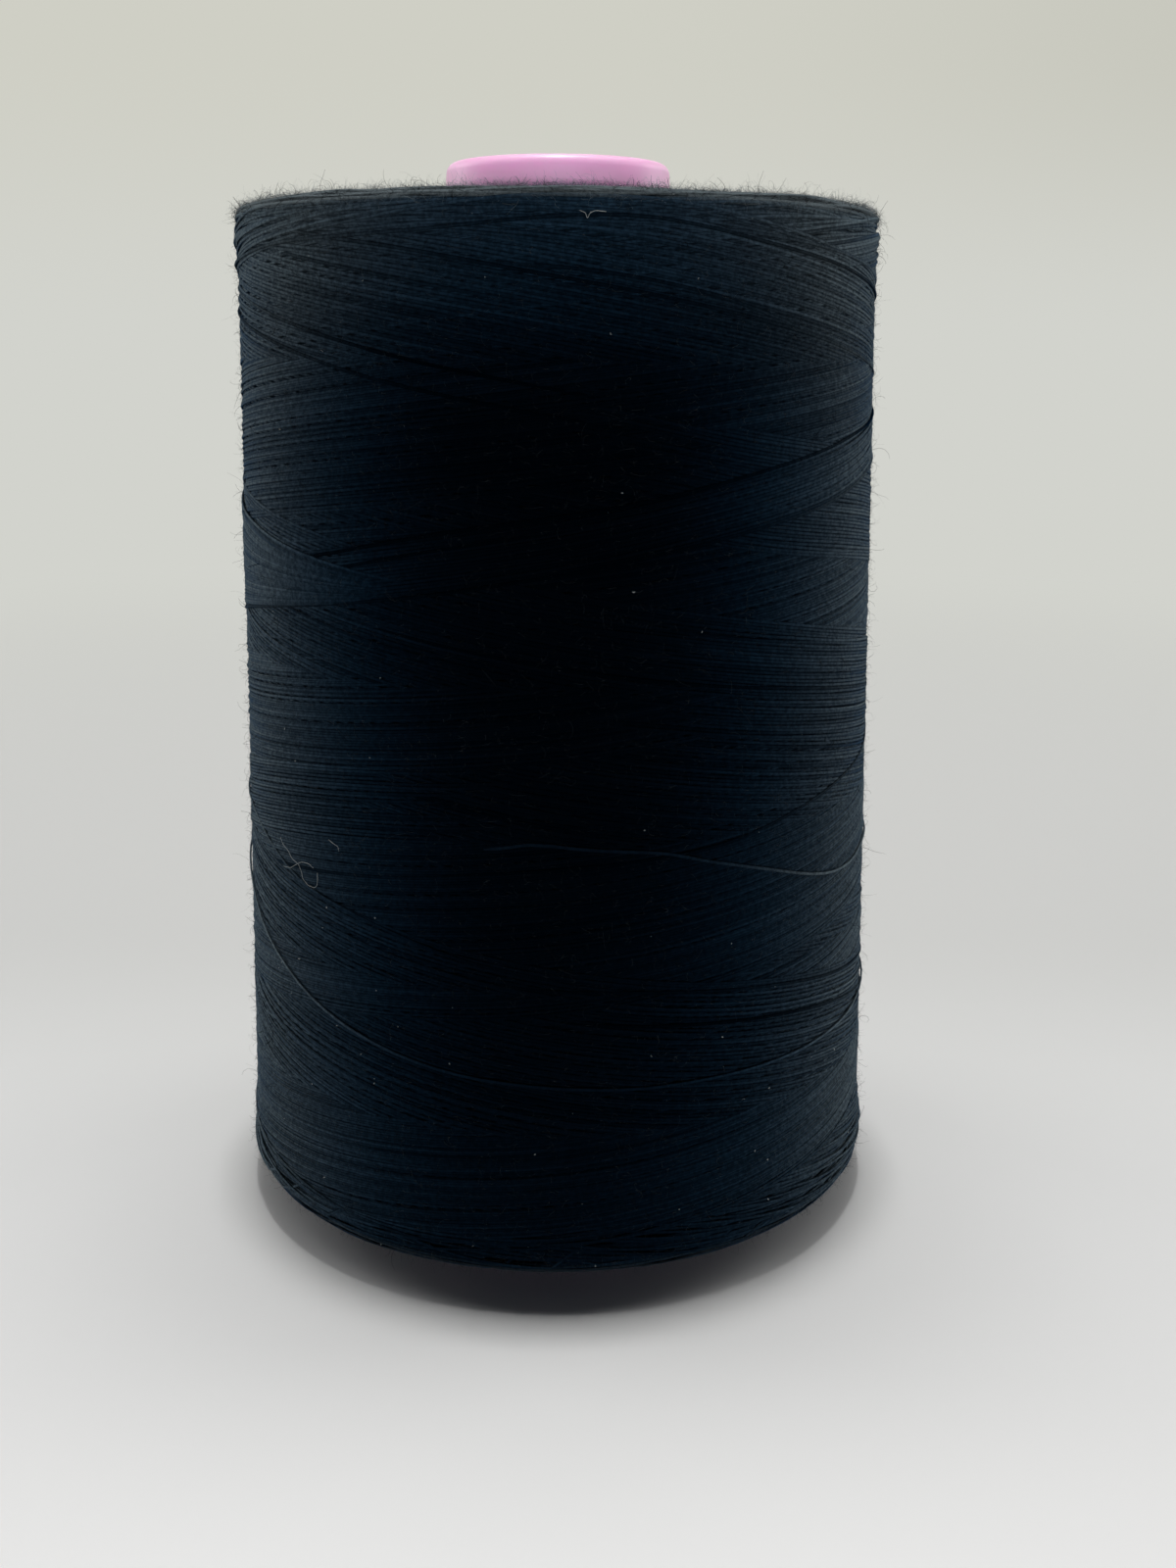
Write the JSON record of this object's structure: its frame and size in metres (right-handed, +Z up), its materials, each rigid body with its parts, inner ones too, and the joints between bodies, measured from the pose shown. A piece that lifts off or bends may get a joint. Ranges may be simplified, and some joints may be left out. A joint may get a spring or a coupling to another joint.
{
  "type": "spool of sewing thread",
  "caption": "Cross-wound package of dark spun thread on a tapered plastic core tube, with a rounded nose above and a notched foot rim below.",
  "frame": {"origin": "centre of the core tube's foot, on the surface that the spool stands on", "axes": "+Z up along the core tube's axis, from its foot to its nose; +X through one of the foot rim's notches"},
  "size_m": [0.0751, 0.0742, 0.115],
  "materials": {
    "core_plastic": "satin pink moulded plastic",
    "thread": "blue-black spun thread with a short fuzz"
  },
  "bodies": {
    "root": {"core_tube": "core_plastic", "winding_body": "thread", "outer_turns": "thread", "start_tail": "thread"}
  },
  "joints": []
}
